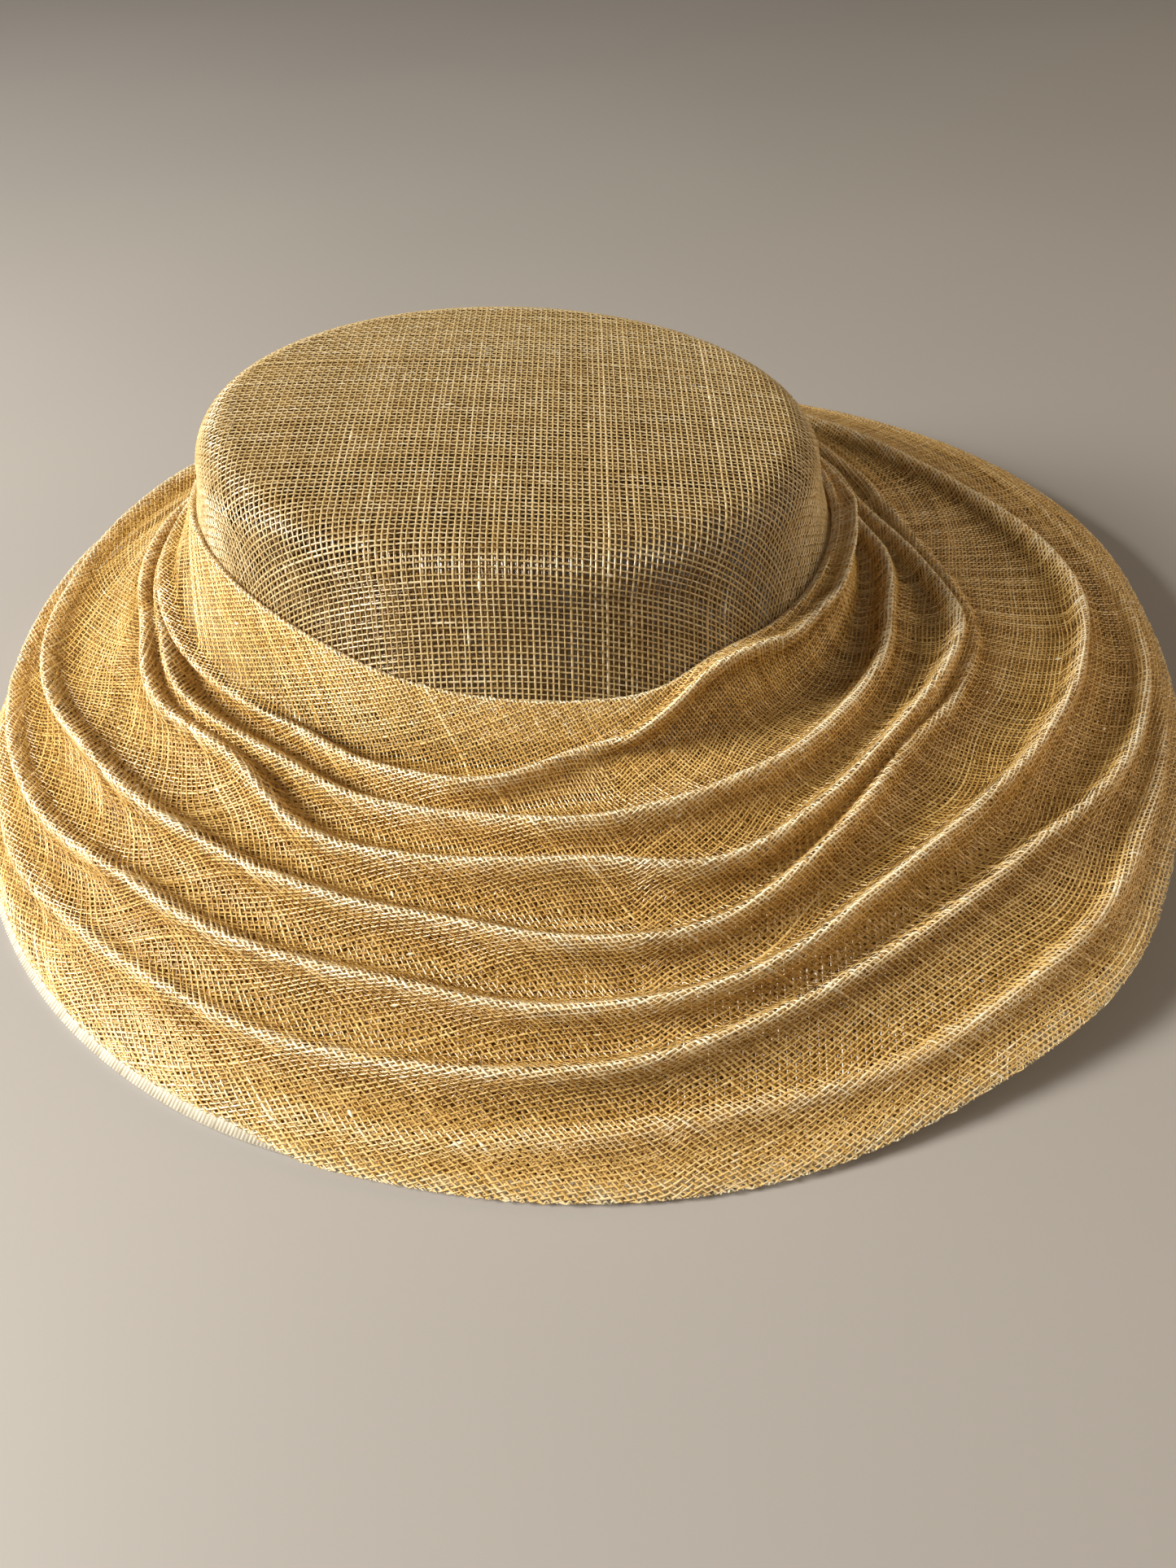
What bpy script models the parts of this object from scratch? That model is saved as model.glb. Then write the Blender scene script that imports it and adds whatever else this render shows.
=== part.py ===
"""Picture hat: an oval blocked crown on a shallow downturned brim, which is covered by a
pleated swathe of sinamay and bound with a ribbon at its edge. It stands on its brim.

Metres, +Z up. The hat is drawn about the middle of its brim, azimuth 0 along +X and
growing anticlockwise seen from above, and an empty then carries it so that the origin
is the bottom centre of the whole hat.
"""

import bpy
import numpy as np

MM = 0.001

# Crown: its two half axes are those of the wall just under the shoulder.
CROWN_CENTRE = np.array([-0.018, 0.004])
CROWN_HALF_LENGTH = 0.0875
CROWN_HALF_WIDTH = 0.075
CROWN_TOP = 0.095
JOIN_HEIGHT = 0.040
SHOULDER_RADIUS = 0.013
TOP_DOME = 0.003
FLARE = 0.014
TOP_SLOPE = -0.042
CROWN_WALL = 0.0014

# Brim, ribbon and drape.
BRIM_WALL = 0.0013
RIBBON_WIDTH = 0.0040
RIBBON_THICKNESS = 0.0013
RIBBON_FOOT = 0.0015
RIGHT_LIFT = 0.016
LIFT_STARTS_AT = 0.2
DRAPE_WALL = 0.0012
DRAPE_OFF_WALL = 0.0007
DRAPE_OFF_BRIM = 0.0004
DRAPE_OVERHANG = 0.0018
RIBBON_SHOWS = 0.0022
CORNER_ROUNDING = 0.0025
GAP = 0.0003

# Folds of the drape: pinched pleats that run round the hat, each with a small rise before
# it and an apron that falls away outside it.
FOLD_HALF_WIDTH = 0.0016
FOLD_TOE = 0.0055
FOLD_TOE_SHARE = 0.26
FOLD_LEAN_LEFT = 0.60
FOLD_LEAN_FRONT = 0.06
FOLD_APRON_SHARE = 0.42
FOLD_APRON_REACH = 0.60
LEAST_SPACING = 0.0042
LEAST_FROM_BORDER = 0.0018
FOLD_NAMES = "ABCDEFG"

# Each row is one section through the hat: azimuth in degrees, then in millimetres the
# brim's radius, the height of the drape's upper border on the crown, and the radius of
# the crest of each fold, from the innermost to the outermost.
SECTION_COLUMNS = ("azimuth", "edge", "border", "A", "B", "C", "D", "E", "F", "G")
SECTIONS = (
    (0, 181, 62, 77, 92, 102, 108, 152, 173, 177),
    (15, 185, 62, 78, 89, 95, 104, 141, 172, 178),
    (30, 185, 61, 79, 92, 98, 106, 130, 171, 177),
    (45, 184, 60, 80, 94, 101, 111, 128, 170, 177),
    (60, 186, 60, 81, 97, 105, 117, 132, 170, 178),
    (75, 187, 60, 84, 100, 109, 124, 139, 172, 180),
    (90, 187, 60, 88, 103, 113, 131, 147, 174, 181),
    (105, 186, 62, 95, 106, 117, 138, 155, 175, 180),
    (120, 185, 64, 103, 110, 121, 145, 162, 176, 180),
    (135, 184, 66, 108, 114, 125, 151, 167, 177, 180),
    (150, 184, 68, 113, 118, 128, 156, 171, 178, 181),
    (165, 184, 70, 118, 122, 130, 159, 173, 178, 181),
    (180, 183, 70, 121, 125, 131, 160, 174, 179, 181),
    (195, 184, 71, 119, 123, 128, 158, 171, 178, 181),
    (210, 185, 69, 113, 123, 130, 150, 166, 176, 181),
    (225, 186, 65, 107, 118, 124, 143, 158, 171, 180),
    (240, 185, 60, 107, 116, 127, 139, 154, 167, 179),
    (255, 182, 57, 102, 111, 123, 136, 149, 163, 176),
    (270, 182, 55, 88, 109, 120, 136, 149, 161, 172),
    (285, 183, 54, 79, 106, 122, 134, 147, 156, 170),
    (300, 184, 58, 75, 102, 117, 125, 141, 152, 173),
    (315, 187, 58, 75, 99, 113, 118, 139, 154, 175),
    (330, 182, 59, 76, 97, 113, 118, 143, 162, 174),
    (345, 180, 61, 76, 93, 112, 117, 148, 169, 174),
)

# How high each fold stands off the drape, in millimetres.
HEIGHT_COLUMNS = ("azimuth", "A", "B", "C", "D", "E", "F", "G")
FOLD_HEIGHTS = (
    (0, 7, 6, 5, 3, 7, 2, 1),
    (30, 4, 4, 4, 3, 5, 1, 1),
    (60, 3, 4, 4, 4, 3, 1, 1),
    (90, 3, 4, 4, 4, 3, 2, 1),
    (120, 3, 4, 5, 5, 4, 2, 1),
    (150, 4, 5, 6, 6, 5, 2, 1),
    (180, 5, 6, 7, 7, 6, 3, 1),
    (210, 6, 7, 8, 8, 7, 3, 1),
    (240, 8, 8, 8, 8, 7, 4, 1),
    (270, 8, 9, 10, 9, 8, 7, 2),
    (300, 9, 8, 8, 8, 9, 6, 3),
    (330, 9, 7, 8, 6, 9, 6, 3),
)

# The drape leaves the ribbon bare between these azimuths, and covers it elsewhere.
BARE_FROM, BARE_TO, BARE_FADE = 192, 252, 9

AROUND = 60
CROWN_AROUND = 48
WALL_ROWS = 4
SHOULDER_ROWS = 4
TOP_RINGS = (0.72, 0.40)
BRIM_STEPS = (0.0, 0.16, 0.32, 0.48, 0.64, 0.80)
FOLD_STATIONS = (-3.0, -1.1, -0.35, 0.35, 1.1)


def round_the_hat(rows, columns, name, azimuth):
    """A column of a table at any azimuth, by a closed Catmull-Rom curve through its rows."""
    table = np.array(rows, float)
    values = table[:, columns.index(name)] * MM
    step = 360.0 / len(values)
    at = np.degrees(azimuth) % 360 / step
    i = np.floor(at).astype(int)
    t = at - i
    before, here, after, beyond = (values[(i + k) % len(values)] for k in (-1, 0, 1, 2))
    return here + 0.5 * t * (
        after - before
        + t * (2 * before - 5 * here + 4 * after - beyond)
        + t * t * (3 * (here - after) + beyond - before)
    )


def ease(t):
    t = np.clip(t, 0, 1)
    return t * t * (3 - 2 * t)


def edge_radius(azimuth):
    return round_the_hat(SECTIONS, SECTION_COLUMNS, "edge", azimuth)


def edge_height(azimuth):
    """The brim stands on its left side, front and back, and lifts towards the right."""
    return RIGHT_LIFT * ease((np.cos(azimuth) - LIFT_STARTS_AT) / (1 - LIFT_STARTS_AT))


def flare_at(z):
    """How far the wall stands outside the oval under the shoulder, more and more as it falls."""
    shoulder_starts = CROWN_TOP - TOP_DOME - SHOULDER_RADIUS
    t = (shoulder_starts - z) / (shoulder_starts - JOIN_HEIGHT)
    return FLARE * t * (0.6 + 0.4 * t)


def oval_radius(azimuth, outside):
    """Distance from the brim's middle to an oval round the crown, along an azimuth."""
    a, b = CROWN_HALF_LENGTH + outside, CROWN_HALF_WIDTH + outside
    dx, dy = np.cos(azimuth), np.sin(azimuth)
    cx, cy = CROWN_CENTRE
    p = (dx / a) ** 2 + (dy / b) ** 2
    q = dx * cx / a**2 + dy * cy / b**2
    c = (cx / a) ** 2 + (cy / b) ** 2 - 1
    return (q + np.sqrt(q * q - p * c)) / p


def wall_radius(azimuth, z):
    """The crown's outer wall, which its tilt raises on the left and lowers on the right."""
    x = CROWN_HALF_LENGTH * np.cos(azimuth)
    lift = TOP_SLOPE * x * (z - JOIN_HEIGHT) / (CROWN_TOP - JOIN_HEIGHT)
    return oval_radius(azimuth, flare_at(z - lift))


def brim_height(azimuth, radius):
    """The top of the brim: level at the crown and steepest at the edge."""
    inner, outer = oval_radius(azimuth, FLARE), edge_radius(azimuth)
    low = edge_height(azimuth) + RIBBON_THICKNESS / np.cos(edge_slope(azimuth))
    t = np.clip((radius - inner) / (outer - inner), 0, 1)
    return low + (JOIN_HEIGHT - low) * np.cos(np.pi / 2 * t)


def edge_slope(azimuth):
    """The brim's fall at its edge, as an angle."""
    fall = JOIN_HEIGHT - edge_height(azimuth) - RIBBON_THICKNESS
    across = edge_radius(azimuth) - oval_radius(azimuth, FLARE)
    return np.arctan(np.pi / 2 * fall / across)


def ring(azimuth, radius, z):
    flat = np.ones_like(azimuth)
    return np.stack([radius * np.cos(azimuth), radius * np.sin(azimuth), z * flat], axis=1)


def mesh_object(name, points, faces, colour, roughness, parent):
    mesh = bpy.data.meshes.new(name)
    mesh.from_pydata([tuple(p) for p in points], [], faces)
    mesh.shade_smooth()
    mesh.set_sharp_from_angle(angle=np.radians(50))
    material = bpy.data.materials.new(name)
    material.use_nodes = True
    shader = material.node_tree.nodes["Principled BSDF"]
    shader.inputs["Base Color"].default_value = (*colour, 1)
    shader.inputs["Roughness"].default_value = roughness
    shader.inputs["Metallic"].default_value = 0.0
    mesh.materials.append(material)
    piece = bpy.data.objects.new(name, mesh)
    piece.parent = parent
    bpy.context.collection.objects.link(piece)
    return piece


def band_faces(rows, around, first=0):
    """Triangles between rows of points that run round the hat, row i to row i + 1."""
    faces = []
    for row in range(rows - 1):
        for i in range(around):
            j = (i + 1) % around
            a, b = first + row * around + i, first + row * around + j
            c, d = b + around, a + around
            faces += [(a, b, c), (a, c, d)]
    return faces


def closed_ring(rows):
    """A solid ring: rows run round its section and the last meets the first. Each quad is
    split along its shorter diagonal."""
    around, count = len(rows[0]), len(rows)
    points = np.concatenate(rows)
    faces = []
    for row in range(count):
        for i in range(around):
            j = (i + 1) % around
            above = (row + 1) % count * around
            a, b, c, d = row * around + i, row * around + j, above + j, above + i
            if np.linalg.norm(points[a] - points[c]) <= np.linalg.norm(points[b] - points[d]):
                faces += [(a, b, c), (a, c, d)]
            else:
                faces += [(a, b, d), (b, c, d)]
    return points, faces


def crown_section(inset):
    """Offsets from the crown's oval and heights, from the join up to the flat of the top."""
    foot = JOIN_HEIGHT + GAP
    arc_centre = CROWN_TOP - TOP_DOME - SHOULDER_RADIUS
    rows = []
    for t in np.linspace(0, 1, WALL_ROWS + 1)[:-1]:
        z = foot + (arc_centre - foot) * t
        rows.append((flare_at(z) - inset, z))
    for angle in np.linspace(0, np.pi / 2, SHOULDER_ROWS + 1):
        reach = SHOULDER_RADIUS - inset
        rows.append((reach * np.cos(angle) - SHOULDER_RADIUS, arc_centre + reach * np.sin(angle)))
    return rows


def crown_skin(inset):
    """One skin of the crown as rings of points from the join to the top's last ring."""
    azimuth = np.arange(CROWN_AROUND) * 2 * np.pi / CROWN_AROUND
    rings = []
    section = crown_section(inset)
    for outside, z in section:
        rings.append(
            (
                (CROWN_HALF_LENGTH + outside) * np.cos(azimuth),
                (CROWN_HALF_WIDTH + outside) * np.sin(azimuth),
                np.full(CROWN_AROUND, z),
            )
        )
    rim_x, rim_y, rim_z = rings[-1]
    for share in (*TOP_RINGS, 0.0):
        rings.append((rim_x * share, rim_y * share, rim_z + TOP_DOME * (1 - share**2)))
    points = []
    for x, y, z in rings:
        tilt = TOP_SLOPE * x * (z - JOIN_HEIGHT) / (CROWN_TOP - JOIN_HEIGHT)
        points.append(np.stack([x + CROWN_CENTRE[0], y + CROWN_CENTRE[1], z + tilt], axis=1))
    points[-1] = points[-1][:1]
    return points


def fan_faces(first, around, tip, upward):
    """Triangles from the last ring of a skin to its middle point."""
    faces = []
    for i in range(around):
        j = (i + 1) % around
        corners = (first + i, first + j, tip)
        faces.append(corners if upward else corners[::-1])
    return faces


def build_crown(parent):
    outer, inner = crown_skin(0.0), crown_skin(CROWN_WALL)
    around, rows = CROWN_AROUND, len(outer) - 1
    points = np.concatenate(outer + inner)
    outer_tip = rows * around
    inner_first = outer_tip + 1
    inner_tip = inner_first + rows * around
    faces = band_faces(rows, around)
    faces += fan_faces((rows - 1) * around, around, outer_tip, True)
    faces += [face[::-1] for face in band_faces(rows, around, inner_first)]
    faces += fan_faces(inner_first + (rows - 1) * around, around, inner_tip, False)
    for i in range(around):
        j = (i + 1) % around
        faces += [(j, i, inner_first + i), (j, inner_first + i, inner_first + j)]
    return mesh_object("crown", points, faces, (0.55, 0.41, 0.18), 0.45, parent)


def build_brim(parent):
    """The foundation brim: from under the crown's wall to the ribbon."""
    azimuth = np.arange(AROUND) * 2 * np.pi / AROUND
    inner = oval_radius(azimuth, FLARE)
    slope = edge_slope(azimuth)
    end = edge_radius(azimuth) - (RIBBON_WIDTH + GAP) * np.cos(slope)
    radii = [oval_radius(azimuth, FLARE - CROWN_WALL)]
    radii += [inner + (edge_radius(azimuth) - inner) * step for step in BRIM_STEPS[1:]]
    radii.append(end)
    top = [ring(azimuth, r, brim_height(azimuth, r)) for r in radii]
    under = []
    for r in radii:
        fall = np.arctan(
            (brim_height(azimuth, r - MM) - brim_height(azimuth, r + MM)) / (2 * MM)
        )
        under.append(
            ring(
                azimuth,
                r - BRIM_WALL * np.sin(fall),
                brim_height(azimuth, r) - BRIM_WALL * np.cos(fall),
            )
        )
    points, faces = closed_ring(top[::-1] + under)
    return mesh_object("brim", points, faces, (0.58, 0.40, 0.16), 0.5, parent)


def build_edge_ribbon(parent):
    """The ribbon that binds the edge, with a flat foot that stands on the table."""
    azimuth = np.arange(AROUND) * 2 * np.pi / AROUND
    radius, low, slope = edge_radius(azimuth), edge_height(azimuth), edge_slope(azimuth)
    inward, rise = RIBBON_WIDTH * np.cos(slope), RIBBON_WIDTH * np.sin(slope)
    over_r = RIBBON_THICKNESS * np.sin(slope)
    over_z = RIBBON_THICKNESS * np.cos(slope)
    rows = [
        ring(azimuth, radius - RIBBON_FOOT, low),
        ring(azimuth, radius, low),
        ring(azimuth, radius + GAP, low + RIBBON_THICKNESS),
        ring(azimuth, radius - inward + over_r, low + rise + over_z),
        ring(azimuth, radius - inward, low + rise),
    ]
    points, faces = closed_ring(rows)
    return mesh_object("edge_ribbon", points, faces, (0.86, 0.85, 0.80), 0.6, parent)


def bed_height(azimuth, radius):
    """What the drape lies on: the crown's wall, a rounded corner, and then the brim."""
    foot = oval_radius(azimuth, FLARE) + DRAPE_OFF_WALL
    steepness = (CROWN_TOP - TOP_DOME - SHOULDER_RADIUS - JOIN_HEIGHT) / FLARE
    border = border_height(azimuth)
    run = foot - border_radius(azimuth)
    steep = np.where(run > 1e-6, (border - JOIN_HEIGHT) / np.maximum(run, 1e-6), steepness)
    wall = JOIN_HEIGHT + (foot - radius) * steep
    brim = brim_height(azimuth, radius) + DRAPE_OFF_BRIM
    apart = np.abs(wall - brim) / CORNER_ROUNDING
    return np.maximum(wall, brim) + CORNER_ROUNDING * np.log1p(np.exp(-apart)) * 0.8


def border_height(azimuth):
    return round_the_hat(SECTIONS, SECTION_COLUMNS, "border", azimuth)


def border_radius(azimuth):
    return wall_radius(azimuth, border_height(azimuth)) + DRAPE_OFF_WALL


def covering(azimuth):
    """1 where the drape covers the ribbon and 0 where it leaves it bare."""
    degrees = np.degrees(azimuth) % 360
    opens = ease((degrees - BARE_FROM) / BARE_FADE)
    closes = ease((BARE_TO - degrees) / BARE_FADE)
    return 1 - opens * closes


def drape_end(azimuth):
    """The radius where the drape stops lying on the brim and ribbon."""
    return edge_radius(azimuth) - RIBBON_SHOWS * (1 - covering(azimuth)) - 0.8 * MM


def crest_radii(azimuth):
    """The folds' crests, kept in order and a little apart."""
    inner = border_radius(azimuth) + LEAST_FROM_BORDER
    outer = drape_end(azimuth) - LEAST_SPACING * 0.6
    crests = []
    for name in FOLD_NAMES:
        crest = round_the_hat(SECTIONS, SECTION_COLUMNS, name, azimuth)
        crests.append(np.maximum(crest, inner))
        inner = crests[-1] + LEAST_SPACING
    for k in range(len(crests) - 1, -1, -1):
        crests[k] = np.minimum(crests[k], outer)
        outer = crests[k] - LEAST_SPACING
    return crests


def fold_lean(azimuth):
    """The folds lean outwards most on the left and stand nearly upright at the front."""
    return FOLD_LEAN_FRONT + (FOLD_LEAN_LEFT - FOLD_LEAN_FRONT) * ease((0.2 - np.cos(azimuth)) / 1.2)


def fold_heights(azimuth):
    return [round_the_hat(FOLD_HEIGHTS, HEIGHT_COLUMNS, name, azimuth) for name in FOLD_NAMES]


def fold_roots(azimuth):
    """Where each fold rises from the bed, and last where the drape ends."""
    lean = fold_lean(azimuth)
    roots = [c - lean * h for c, h in zip(crest_radii(azimuth), fold_heights(azimuth))]
    return roots + [drape_end(azimuth)]


def bed_fall(azimuth, radius):
    """How steeply the bed falls outwards."""
    half = 0.4 * MM
    return (bed_height(azimuth, radius - half) - bed_height(azimuth, radius + half)) / (2 * half)


def half_width(azimuth, root):
    """A fold's half width, measured along the bed, as a difference of radius."""
    return FOLD_HALF_WIDTH / np.sqrt(1 + bed_fall(azimuth, root) ** 2)


def drape_point(azimuth, radius, above, roots):
    """A point of the drape that starts over a place on its bed: lifted off it by its
    thickness, and by each fold along that fold's own direction, between off the bed at its
    root and upwards with its lean."""
    fall = bed_fall(azimuth, radius)
    steep = np.sqrt(1 + fall * fall)
    r, z = radius + above * fall / steep, bed_height(azimuth, radius) + above / steep
    lean = fold_lean(azimuth)
    for k, height in enumerate(fold_heights(azimuth)):
        away = radius - roots[k]
        fall = bed_fall(azimuth, roots[k])
        steep = np.sqrt(1 + fall * fall)
        pinch = np.exp(-((np.abs(away) * steep / FOLD_HALF_WIDTH) ** 1.5))
        toe = FOLD_TOE_SHARE * np.exp(-((away / FOLD_TOE) ** 2))
        apron = FOLD_APRON_SHARE * ease(1 - away / (FOLD_APRON_REACH * (roots[k + 1] - roots[k])))
        share = np.where(away < 0, FOLD_TOE_SHARE, FOLD_APRON_SHARE)
        lift = height * ((1 - share) * pinch + np.where(away < 0, toe, apron))
        out, up = fall / steep + lean, 1 / steep + 1
        r = r + lift * out / np.hypot(out, up)
        z = z + lift * up / np.hypot(out, up)
    return r, z


def build_drape(parent):
    """The pleated swathe: its folds on top, and underneath the form of what it lies on."""
    azimuth = np.arange(AROUND) * 2 * np.pi / AROUND
    roots = fold_roots(azimuth)
    start, end = border_radius(azimuth), drape_end(azimuth)
    stations = [start]
    previous = start
    for root in roots[:-1]:
        reach = np.minimum(half_width(azimuth, root), (root - previous) / 4.5)
        stations.append(0.5 * (stations[-1] + root + FOLD_STATIONS[0] * reach))
        stations += [root + step * reach for step in FOLD_STATIONS]
        previous = root
    stations.append(0.5 * (stations[-1] + end))
    stations.append(end)
    top = []
    for radius in stations:
        r, z = drape_point(azimuth, radius, DRAPE_WALL, roots)
        top.append(ring(azimuth, r, z))
    cover, low, edge = covering(azimuth), edge_height(azimuth), edge_radius(azimuth)
    last_r, last_z = drape_point(azimuth, end, DRAPE_WALL, roots)
    lip_r = edge + DRAPE_OVERHANG
    lip_z = low + RIBBON_THICKNESS * 0.8
    hem_r = last_r + (lip_r - last_r) * cover + 0.4 * MM * (1 - cover)
    hem_z = last_z + (lip_z - last_z) * cover - 0.5 * MM * (1 - cover)
    bottom_r = end + (edge + GAP + 0.4 * MM - end) * cover + 0.2 * MM * (1 - cover)
    bottom_z = bed_height(azimuth, end)
    bottom_z = bottom_z + (lip_z - bottom_z) * cover
    top.append(ring(azimuth, hem_r, hem_z))
    under = [ring(azimuth, bottom_r, bottom_z)]
    under.append(ring(azimuth, end, bed_height(azimuth, end)))
    inner, outer = oval_radius(azimuth, FLARE), edge_radius(azimuth)
    for step in BRIM_STEPS[:0:-1]:
        radius = inner + (outer - inner) * step
        under.append(ring(azimuth, radius, bed_height(azimuth, radius)))
    for radius in (inner + 3 * MM, inner - 1 * MM, 0.5 * (inner + start)):
        radius = np.maximum(radius, start + 0.3 * MM)
        under.append(ring(azimuth, radius, bed_height(azimuth, radius)))
    under.append(ring(azimuth, start, bed_height(azimuth, start)))
    points, faces = closed_ring(top[::-1] + under[::-1])
    return mesh_object("drape", points, faces, (0.66, 0.47, 0.20), 0.5, parent)


def clear_scene():
    for piece in list(bpy.data.objects):
        bpy.data.objects.remove(piece, do_unlink=True)


def build_hat():
    clear_scene()
    hat = bpy.data.objects.new("hat", None)
    bpy.context.collection.objects.link(hat)
    pieces = [build_crown(hat), build_brim(hat), build_drape(hat), build_edge_ribbon(hat)]
    corners = np.array([v.co for piece in pieces for v in piece.data.vertices])
    low, high = corners.min(axis=0), corners.max(axis=0)
    hat.location = (-(low[0] + high[0]) / 2, -(low[1] + high[1]) / 2, -low[2])
    bpy.context.view_layer.update()


build_hat()
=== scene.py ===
"""The picture hat as it looks: every piece is woven thread by thread from open sinamay, and the
ribbon at the edge is ribbed. Metres, +Z up, and azimuth 0 along +X, seen from above."""

import bpy
import numpy as np
from mathutils import Matrix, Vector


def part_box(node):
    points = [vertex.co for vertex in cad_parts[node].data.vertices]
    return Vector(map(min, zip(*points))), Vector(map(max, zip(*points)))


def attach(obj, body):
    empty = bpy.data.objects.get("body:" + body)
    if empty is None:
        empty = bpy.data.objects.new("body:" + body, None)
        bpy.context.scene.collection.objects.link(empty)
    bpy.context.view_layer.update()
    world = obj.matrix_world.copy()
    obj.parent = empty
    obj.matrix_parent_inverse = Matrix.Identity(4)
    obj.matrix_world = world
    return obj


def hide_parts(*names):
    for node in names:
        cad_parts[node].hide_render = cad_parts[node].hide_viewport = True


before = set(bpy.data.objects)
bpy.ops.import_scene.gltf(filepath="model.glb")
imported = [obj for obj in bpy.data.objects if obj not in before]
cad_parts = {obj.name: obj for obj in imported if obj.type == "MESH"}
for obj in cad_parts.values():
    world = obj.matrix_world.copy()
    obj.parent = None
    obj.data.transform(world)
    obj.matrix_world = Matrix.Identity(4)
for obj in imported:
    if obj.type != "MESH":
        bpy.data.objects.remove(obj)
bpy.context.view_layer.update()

# The crown.
# Two layers of stiffened sinamay, which are steamed together over an oval wooden block. The
# cloth keeps its thread spacing and shears at the four corners, and the layers' grains differ
# a little, so that they play against each other where the light comes through.

CROWN_MIDDLE = np.array([-0.018, 0.004])
CROWN_HALF_LENGTH = 0.0875
CROWN_HALF_WIDTH = 0.075
CROWN_TOP = 0.095
JOIN_HEIGHT = 0.040
SHOULDER_RADIUS = 0.013
TOP_DOME = 0.003
SHOULDER_FOOT = CROWN_TOP - TOP_DOME - SHOULDER_RADIUS
FLARE = 0.014
TOP_SLOPE = -0.042
CUT_ABOVE_JOIN = 0.0006
PITCH = 0.00156
GRAIN_TURN = np.radians(3.4)
CROWN_UNEVEN = 0.07
CROWN_TWIST = 0.5
STEPS_FROM_MIDDLE = 96
# The threads' widths vary, a few are thick, and each drifts from side to side.
THREAD_SPREAD = 0.07
THICK_SHARE = 0.015
THICKER = 1.35
PALE_WIDER = 0.6
THREAD_DRIFT = 0.00005
STRAIGHT_ENOUGH = 0.00010

# The hat is drawn about the middle of its brim, and its crown's box says where that lies.
crown_low, crown_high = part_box("crown")
MIDDLE = np.array([*((np.array(crown_low) + np.array(crown_high)) / 2)[:2] - CROWN_MIDDLE, 0.0])


def unit(v):
    return v / np.maximum(np.linalg.norm(v, axis=-1, keepdims=True), 1e-12)


def flare_at(z):
    """How far the crown's wall stands outside the oval under the shoulder."""
    t = (SHOULDER_FOOT - z) / (SHOULDER_FOOT - JOIN_HEIGHT)
    return FLARE * t * (0.6 + 0.4 * t)


def crown_place(a, b, inset):
    """The crown over a flat oval map: its top, then the shoulder, then the wall."""
    mean = np.sqrt(CROWN_HALF_LENGTH * CROWN_HALF_WIDTH)
    out = np.maximum(np.hypot(a / CROWN_HALF_LENGTH, b / CROWN_HALF_WIDTH), 1e-9)
    along, across = a / CROWN_HALF_LENGTH / out, b / CROWN_HALF_WIDTH / out
    rim = 1 - SHOULDER_RADIUS / mean
    share = np.minimum(out / rim, 1)
    turn = np.clip((out - rim) * mean / SHOULDER_RADIUS, 0, np.pi / 2)
    down = np.maximum((out - rim) * mean - np.pi / 2 * SHOULDER_RADIUS, 0)
    reach = SHOULDER_RADIUS - inset
    z = SHOULDER_FOOT + reach * np.cos(turn) + TOP_DOME * (1 - share**2) - down
    beyond = reach * np.sin(turn) - SHOULDER_RADIUS + (down > 0) * flare_at(SHOULDER_FOOT - down)
    x = np.where(share < 1, share * (CROWN_HALF_LENGTH - SHOULDER_RADIUS),
                 CROWN_HALF_LENGTH + beyond) * along
    y = np.where(share < 1, share * (CROWN_HALF_WIDTH - SHOULDER_RADIUS),
                 CROWN_HALF_WIDTH + beyond) * across
    tilt = TOP_SLOPE * x * (z - JOIN_HEIGHT) / (CROWN_TOP - JOIN_HEIGHT)
    return np.stack([x + CROWN_MIDDLE[0], y + CROWN_MIDDLE[1], z + tilt], axis=-1)


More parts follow.
